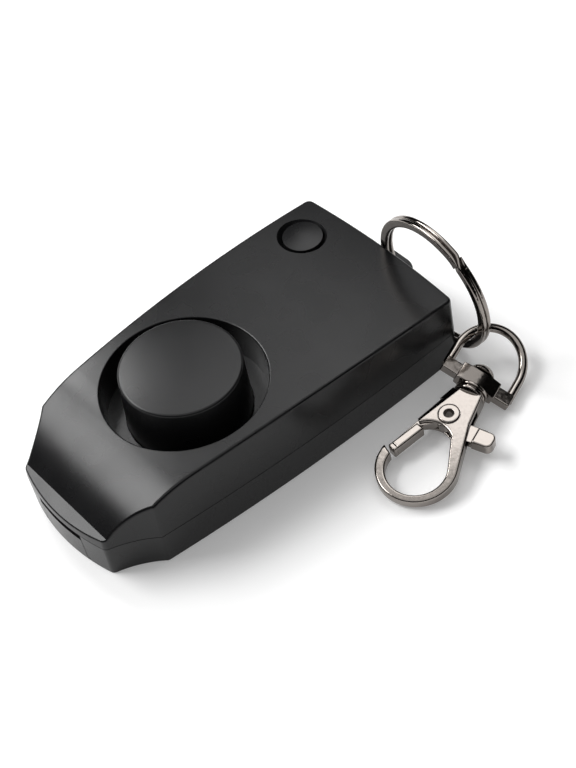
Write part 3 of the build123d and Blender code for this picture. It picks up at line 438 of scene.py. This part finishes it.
def rounded_outline(height, width, corner):
    """Points of a rounded rectangle round the origin, counterclockwise, in millimetres."""
    points = []
    for quarter, (side, level) in enumerate(((1, 1), (-1, 1), (-1, -1), (1, -1))):
        for step in range(CORNER_STEPS + 1):
            turn = math.radians(90 * quarter + 90 * step / CORNER_STEPS)
            points.append(
                (
                    side * (height / 2 - corner) + corner * math.cos(turn),
                    level * (width / 2 - corner) + corner * math.sin(turn),
                )
            )
    return points


def skin(name, rings, material, body):
    """A closed piece whose wall runs through rings of points in metres, riding on a body."""
    count = len(rings[0])
    points = [tuple(point) for ring in rings for point in ring]
    faces = [tuple(range(count))[::-1], tuple(range(len(points) - count, len(points)))]
    for ring in range(len(rings) - 1):
        for step in range(count):
            near, far = ring * count + step, ring * count + (step + 1) % count
            faces.append((near, far, far + count, near + count))
    mesh = bpy.data.meshes.new(name)
    mesh.from_pydata(points, [], faces)
    piece = shape_up(name, mesh, point_outwards, material)
    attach(piece, body)


def coil_tip(name, facing, look, material):
    """The tapered tip of one end of the split ring's wire, beside the step between the coils."""
    layer = (look.wire_width + look.coil_gap) / 2
    outer = layer + look.wire_width / 2
    mid_radius = RING_RADIUS - look.wire_height / 2
    rings = []
    for place in TIP_STATIONS:
        share = min(place / TIP_FULL, 1.0)
        inner = look.wire_width / 2 + look.coil_gap - layer * math.sin(math.radians(90 * share))
        width = outer - inner
        corner = min(look.wire_round, width * CORNER_SHARE)
        turn = math.radians(facing * place + RING_STEP_ANGLE)
        ring = []
        for radial, level in rounded_outline(look.wire_height, width, corner):
            reach = mid_radius + radial
            across = facing * ((inner + outer) / 2 + level)
            spot = RING_CENTRE + RING_ALONG * (reach * math.cos(turn))
            spot = spot + RING_SIDE * (reach * math.sin(turn)) + RING_AXIS * across
            ring.append(spot * MM)
        rings.append(ring)
    skin(name, rings, material, "split_ring")


def gate_tip(look, material):
    """The last part of the gate's bar, from where the solid ends towards the hook's nose."""
    across = Vector((-BAR_ALONG.y, BAR_ALONG.x))
    rings = []
    for reach, shrink in (
        (0.0, 0.0), (look.tip_length - BAR_END_ROUND, 0.0), (look.tip_length, BAR_END_ROUND)
    ):
        outline = rounded_outline(BAR_WIDTH - 2 * shrink, BAR_HEIGHT - 2 * shrink, BAR_CORNER)
        middle = BAR_END + BAR_ALONG * reach
        ring = []
        for wide, tall in outline:
            flat = middle + across * wide
            spot = CLASP_ORIGIN + CLASP_ALONG * flat.x + CLASP_RIGHT * flat.y + CLASP_UP * tall
            ring.append(spot * MM)
        rings.append(ring)
    skin("gate_tip", rings, material, "gate")


class ALARM_OT_case(bpy.types.Operator):
    """Finish the two shells and the battery door as satin black ABS"""

    bl_idname = "alarm.case"
    bl_label = "Finish the case"

    def execute(self, context):
        look = context.scene.alarm_case
        finish = moulded_abs(
            "satin_black_abs", look.case_colour, look.case_roughness,
            grain_mm=0.25, grain_depth_mm=0.006,
        )
        paint(("top_shell", "bottom_shell", "battery_door", "siren_retainer"), finish)
        return {"FINISHED"}


class ALARM_OT_buttons(bpy.types.Operator):
    """Finish the alarm button, with its crowned face, and the off button"""

    bl_idname = "alarm.buttons"
    bl_label = "Finish the buttons"

    def execute(self, context):
        look = context.scene.alarm_case
        finish, face = [
            moulded_abs(
                name, look.button_colour, look.button_roughness, grain_mm=0.3, grain_depth_mm=0.004
            )
            for name in ("smooth_black_abs", "crowned_black_abs")
        ]
        low, high = node_box("alarm_button")
        crown(face, ((low + high) / 2).to_tuple(), look.button_crown)
        paint(("off_button",), finish)
        paint(("alarm_button",), face)
        return {"FINISHED"}


class ALARM_OT_key_ring(bpy.types.Operator):
    """Finish the split ring as plated steel wire, with the tips of its two ends"""

    bl_idname = "alarm.key_ring"
    bl_label = "Finish the split ring"

    def execute(self, context):
        look = context.scene.alarm_metal
        finish = nickel_plate(
            "nickel_plated_wire", look.plate_colour, look.plate_roughness,
            wave_mm=3.0, wave_depth_mm=0.01, edge_mm=0.1,
        )
        paint(("key_ring",), finish)
        coil_tip("inner_coil_tip", 1, look, finish)
        coil_tip("outer_coil_tip", -1, look, finish)
        return {"FINISHED"}


class ALARM_OT_clasp(bpy.types.Operator):
    """Finish the swivel clasp as a plated casting, with the tip of its gate"""

    bl_idname = "alarm.clasp"
    bl_label = "Finish the clasp"

    def execute(self, context):
        look = context.scene.alarm_metal
        finish = nickel_plate(
            "nickel_plated_casting", look.plate_colour, look.plate_roughness,
            wave_mm=1.6, wave_depth_mm=0.02, edge_mm=0.22,
        )
        paint(("swivel_ring", "swivel_stud", "clasp_hook", "gate_lever", "lever_rivet"), finish)
        gate_tip(look, finish)
        return {"FINISHED"}


class ALARM_OT_electrics(bpy.types.Operator):
    """Finish the boards, the parts on them, the siren and the leads"""

    bl_idname = "alarm.electrics"
    bl_label = "Finish the electrics"

    def execute(self, context):
        mask = plain_stock("solder_mask", "#1c6b3c", "#13532d", roughness=0.35, fleck_mm=1.5)
        paint(("circuit_board", "alarm_switch_board"), mask)
        housing = plain_stock("moulded_epoxy", "#1d1d1f", "#141415", roughness=0.5, fleck_mm=0.4)
        paint(("control_chip", "driver_transistor", "alarm_switch", "off_switch"), housing)
        winding = plain_stock(
            "enamelled_copper", "#a8552a", "#7c3a1a", roughness=0.35, fleck_mm=0.2, metallic=1.0
        )
        paint(("step_up_coil",), winding)
        brass = plain_stock(
            "rolled_brass", "#c9a65a", "#b8934a", roughness=0.3, fleck_mm=2.0, metallic=1.0
        )
        paint(("siren_disc",), brass)
        ceramic = plain_stock(
            "silvered_ceramic", "#dedbd2", "#cfcbc0", roughness=0.45, fleck_mm=0.8
        )
        paint(("siren_ceramic",), ceramic)
        foam = plain_stock(
            "closed_cell_foam", "#4a4a4c", "#2e2e30", roughness=0.95, fleck_mm=0.5, depth_mm=0.05
        )
        paint(("siren_gasket",), foam)
        sleeve = plain_stock("lead_sleeve", "#a81a16", "#8c1411", roughness=0.45, fleck_mm=1.0)
        paint(("siren_leads", "switch_leads", "battery_leads"), sleeve)
        return {"FINISHED"}


class ALARM_OT_metal_parts(bpy.types.Operator):
    """Finish the cells, contacts, screws and springs as plated steel"""

    bl_idname = "alarm.metal_parts"
    bl_label = "Finish the inner metal parts"

    def execute(self, context):
        sheet = plain_stock(
            "plated_sheet_steel", "#c9c8c5", "#b5b4b1", roughness=0.25, fleck_mm=1.2, metallic=1.0
        )
        paint(
            (
                "cell_front", "cell_middle", "cell_rear", "front_contact", "top_bridge_contact",
                "door_bridge_contact", "rear_contact", "storage_capacitor", "housing_screws",
            ),
            sheet,
        )
        wire = plain_stock(
            "drawn_spring_wire", "#b0afac", "#93928f", roughness=0.3, fleck_mm=0.3, metallic=1.0
        )
        paint(("alarm_button_spring", "gate_spring"), wire)
        pressed_spring(wire)
        return {"FINISHED"}


def soft_light(name, place, width, height, power):
    """A rectangular soft light that faces the middle of the stage."""
    bpy.ops.object.light_add(type="AREA", location=place)
    lamp = bpy.context.object
    lamp.name = name
    lamp.data.shape = "RECTANGLE"
    lamp.data.size = width
    lamp.data.size_y = height
    lamp.data.energy = power
    lamp.visible_camera = False
    lamp.rotation_euler = (Vector(place) - STAGE_MIDDLE).to_track_quat("Z", "Y").to_euler()


def seen_or_mirrored(tree):
    """A socket that is one for what the eye sees straight, mirrored or through glass."""
    rays = add_node(tree, "ShaderNodeLightPath")
    seen = add_node(
        tree, "ShaderNodeMath", operation="MAXIMUM",
        links={0: rays.outputs["Is Camera Ray"], 1: rays.outputs["Is Glossy Ray"]},
    )
    seen = add_node(
        tree, "ShaderNodeMath", operation="MAXIMUM",
        links={0: seen.outputs[0], 1: rays.outputs["Is Transmission Ray"]},
    )
    return seen.outputs[0]


def matt_surface(name, colour, roughness):
    """A material without gloss, for the floor and the cards."""
    material, tree, shader, place = new_surface(name)
    shader.inputs["Base Color"].default_value = colour
    shader.inputs["Roughness"].default_value = roughness
    shader.inputs["Specular IOR Level"].default_value = 0.0
    return material, tree, shader, place


def pale_floor(studio):
    """A sheet of pale paper, lifted towards white for the eye, and more so far from the part."""
    bpy.ops.object.select_all(action="DESELECT")
    bpy.ops.mesh.primitive_plane_add(size=studio.floor_size, location=(0, 0, 0))
    floor = bpy.context.object
    floor.name = "pale_floor"
    paper, tree, shader, place = matt_surface("pale_paper_floor", PAPER_COLOUR, roughness=0.9)
    away = add_node(tree, "ShaderNodeVectorMath", operation="LENGTH", links={0: place})
    fade = add_node(
        tree, "ShaderNodeMapRange", links={"Value": away.outputs["Value"]},
        interpolation_type="SMOOTHSTEP",
        inputs={
            "From Min": FADE_START, "From Max": FADE_END,
            "To Min": studio.floor_lift, "To Max": FADE_LEVEL,
        },
    )
    lift = add_node(
        tree, "ShaderNodeMath", operation="MULTIPLY",
        links={0: seen_or_mirrored(tree), 1: fade.outputs["Result"]},
    )
    shader.inputs["Emission Color"].default_value = WHITE
    tree.links.new(lift.outputs[0], shader.inputs["Emission Strength"])
    floor.data.materials.append(paper)


def dark_cards(studio):
    """Dark cards all round, which only mirror rays see, so that the metal has dark bands."""
    bpy.ops.object.select_all(action="DESELECT")
    bpy.ops.mesh.primitive_cylinder_add(
        radius=studio.card_distance, depth=studio.card_height, end_fill_type="NOTHING",
        location=(0, 0, studio.card_height / 2 + studio.card_lift), vertices=48,
    )
    flags = bpy.context.object
    flags.name = "dark_cards"
    card, _, _, _ = matt_surface("matt_black_card", CARD_COLOUR, roughness=1.0)
    flags.data.materials.append(card)
    flags.visible_camera = False
    flags.visible_diffuse = False
    flags.visible_shadow = False


def pale_room(studio):
    """A room that lights everything evenly and is white where the eye sees it."""
    world = bpy.data.worlds.new("pale_room")
    world.use_nodes = True
    tree = world.node_tree
    tree.nodes.clear()
    room, white = [
        add_node(tree, "ShaderNodeBackground", inputs={"Color": WHITE, "Strength": strength})
        for strength in (studio.room_strength, 1.0)
    ]
    mixed = add_node(
        tree, "ShaderNodeMixShader",
        links={0: seen_or_mirrored(tree), 1: room.outputs[0], 2: white.outputs[0]},
    )
    add_node(tree, "ShaderNodeOutputWorld", links={"Surface": mixed.outputs[0]})
    return world


def studio_camera(studio):
    """The camera, in the photographer's place."""
    azimuth, elevation, roll = (math.radians(angle) for angle in CAMERA_ANGLES)
    back = Vector(
        (
            math.sin(azimuth) * math.cos(elevation),
            -math.cos(azimuth) * math.cos(elevation),
            math.sin(elevation),
        )
    )
    level = Vector((math.cos(azimuth), math.sin(azimuth), 0))
    rise = back.cross(level)
    right = level * math.cos(roll) + rise * math.sin(roll)
    up = rise * math.cos(roll) - level * math.sin(roll)
    turn = Matrix((right, up, back)).transposed()
    place = STAGE_MIDDLE + back * studio.camera_distance
    bpy.ops.object.camera_add()
    camera = bpy.context.object
    camera.name = "studio_camera"
    camera.matrix_world = Matrix.Translation(place) @ turn.to_4x4()
    camera.data.sensor_width = CAMERA_SENSOR
    camera.data.lens = CAMERA_LENS
    camera.data.clip_start, camera.data.clip_end = CAMERA_RANGE
    return camera


class ALARM_OT_stage(bpy.types.Operator):
    """Set the floor, the soft lights, the dark cards, the pale room and the camera"""

    bl_idname = "alarm.stage"
    bl_label = "Set the studio"

    def execute(self, context):
        studio = context.scene.alarm_studio
        pale_floor(studio)
        soft_light(*KEY_LAMP, studio.key_power)
        soft_light(*TOP_LAMP, studio.top_power)
        soft_light(*NEAR_LAMP, studio.near_power)
        dark_cards(studio)
        context.scene.world = pale_room(studio)
        context.scene.camera = studio_camera(studio)
        context.scene.view_settings.view_transform = "Standard"
        return {"FINISHED"}


class ALARM_PT_panel(bpy.types.Panel):
    """Sizes, colours and steps of the alarm"""

    bl_idname = "ALARM_PT_panel"
    bl_label = "Safety alarm"
    bl_space_type = "VIEW_3D"
    bl_region_type = "UI"
    bl_category = "Alarm"

    def draw(self, context):
        layout = self.layout
        for key, group in GROUPS:
            for name in group.__annotations__:
                layout.prop(getattr(context.scene, key), name)
        for step in STEPS:
            layout.operator(step.bl_idname)


STEPS = (
    ALARM_OT_case,
    ALARM_OT_buttons,
    ALARM_OT_key_ring,
    ALARM_OT_clasp,
    ALARM_OT_electrics,
    ALARM_OT_metal_parts,
    ALARM_OT_stage,
)
GROUPS = (
    ("alarm_case", CaseFinish),
    ("alarm_metal", MetalFinish),
    ("alarm_studio", StudioSettings),
)


def register():
    for _, group in GROUPS:
        bpy.utils.register_class(group)
    for step in STEPS:
        bpy.utils.register_class(step)
    bpy.utils.register_class(ALARM_PT_panel)
    for name, group in GROUPS:
        setattr(bpy.types.Scene, name, bpy.props.PointerProperty(type=group))


def unregister():
    for name, _ in GROUPS:
        delattr(bpy.types.Scene, name)
    bpy.utils.unregister_class(ALARM_PT_panel)
    for step in reversed(STEPS):
        bpy.utils.unregister_class(step)
    for _, group in reversed(GROUPS):
        bpy.utils.unregister_class(group)


def main():
    register()
    bpy.ops.alarm.stage()
    bpy.ops.alarm.case()
    bpy.ops.alarm.buttons()
    bpy.ops.alarm.key_ring()
    bpy.ops.alarm.clasp()
    bpy.ops.alarm.electrics()
    bpy.ops.alarm.metal_parts()


if __name__ == "__main__":
    main()
